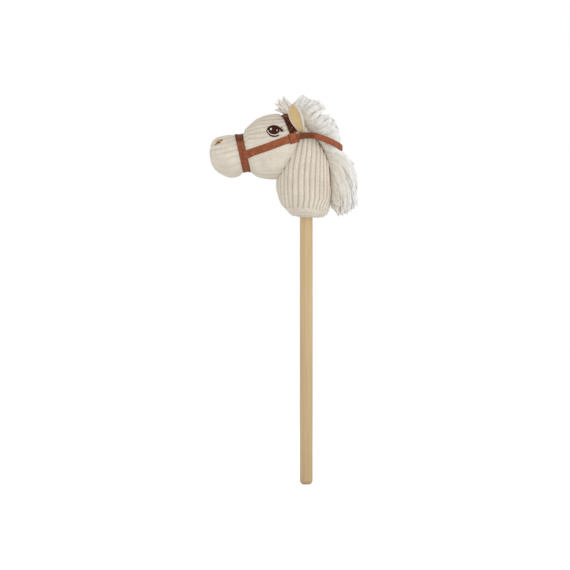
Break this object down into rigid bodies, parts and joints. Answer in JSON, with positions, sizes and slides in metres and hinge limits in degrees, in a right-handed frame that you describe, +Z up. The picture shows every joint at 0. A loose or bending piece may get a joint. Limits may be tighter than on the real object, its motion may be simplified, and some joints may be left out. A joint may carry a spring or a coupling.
{
  "type": "hobby horse",
  "caption": "Stuffed corduroy horse's head with leather bridle, rein and fur mane on a wooden stick, for a child to ride.",
  "frame": {"origin": "centre of the stick's rounded foot, on its small end flat", "axes": "+Z up along the stick, muzzle towards -X, the horse's left side towards -Y"},
  "size_m": [0.2889, 0.1206, 0.7585],
  "materials": {
    "stick_wood": "smooth, clear-lacquered beech",
    "plywood": "sawn birch plywood",
    "steel": "zinc-plated",
    "cotton": "plain woven cotton",
    "cord": "waxed cotton cord",
    "corduroy": "wide-wale cream corduroy",
    "stuffing": "polyester fibre filling",
    "ear_felt": "tan felt",
    "dark_thread": "satin-stitched thread",
    "tan_thread": "satin-stitched thread",
    "strap_leather": "smooth brown imitation leather",
    "fur": "long ivory pile"
  },
  "bodies": {
    "horse": {"stick": "stick_wood", "anchor_disc": "plywood", "anchor_screw": "steel", "stick_sleeve": "cotton", "sleeve_tie": "cord", "face_panel_left": "corduroy", "face_panel_right": "corduroy", "neck_panel_left": "corduroy", "neck_panel_right": "corduroy", "neck_base_panel": "corduroy", "muzzle_stuffing": "stuffing", "head_stuffing": "stuffing", "neck_stuffing": "stuffing", "ear_left": "corduroy", "ear_right": "corduroy", "ear_lining_left": "ear_felt", "ear_lining_right": "ear_felt", "eye_left": "dark_thread", "eye_right": "dark_thread", "lower_lid_left": "dark_thread", "lower_lid_right": "dark_thread", "nostril_left": "tan_thread", "nostril_right": "tan_thread", "noseband": "strap_leather", "cheek_strap_left": "strap_leather", "cheek_strap_right": "strap_leather", "browband": "strap_leather", "strap_loop_left": "strap_leather", "strap_loop_right": "strap_leather", "mane_backing": "cotton", "forelock": "fur", "upper_mane": "fur", "lower_mane": "fur"},
    "rein": {"rein": "strap_leather"}
  },
  "joints": [
    {"name": "rein_swing", "type": "hinge", "parent": "horse", "child": "rein", "pos_m": [-0.0092, 0, 0.6772], "axis": [0, -1, 0], "range_deg": [0, 30]}
  ]
}
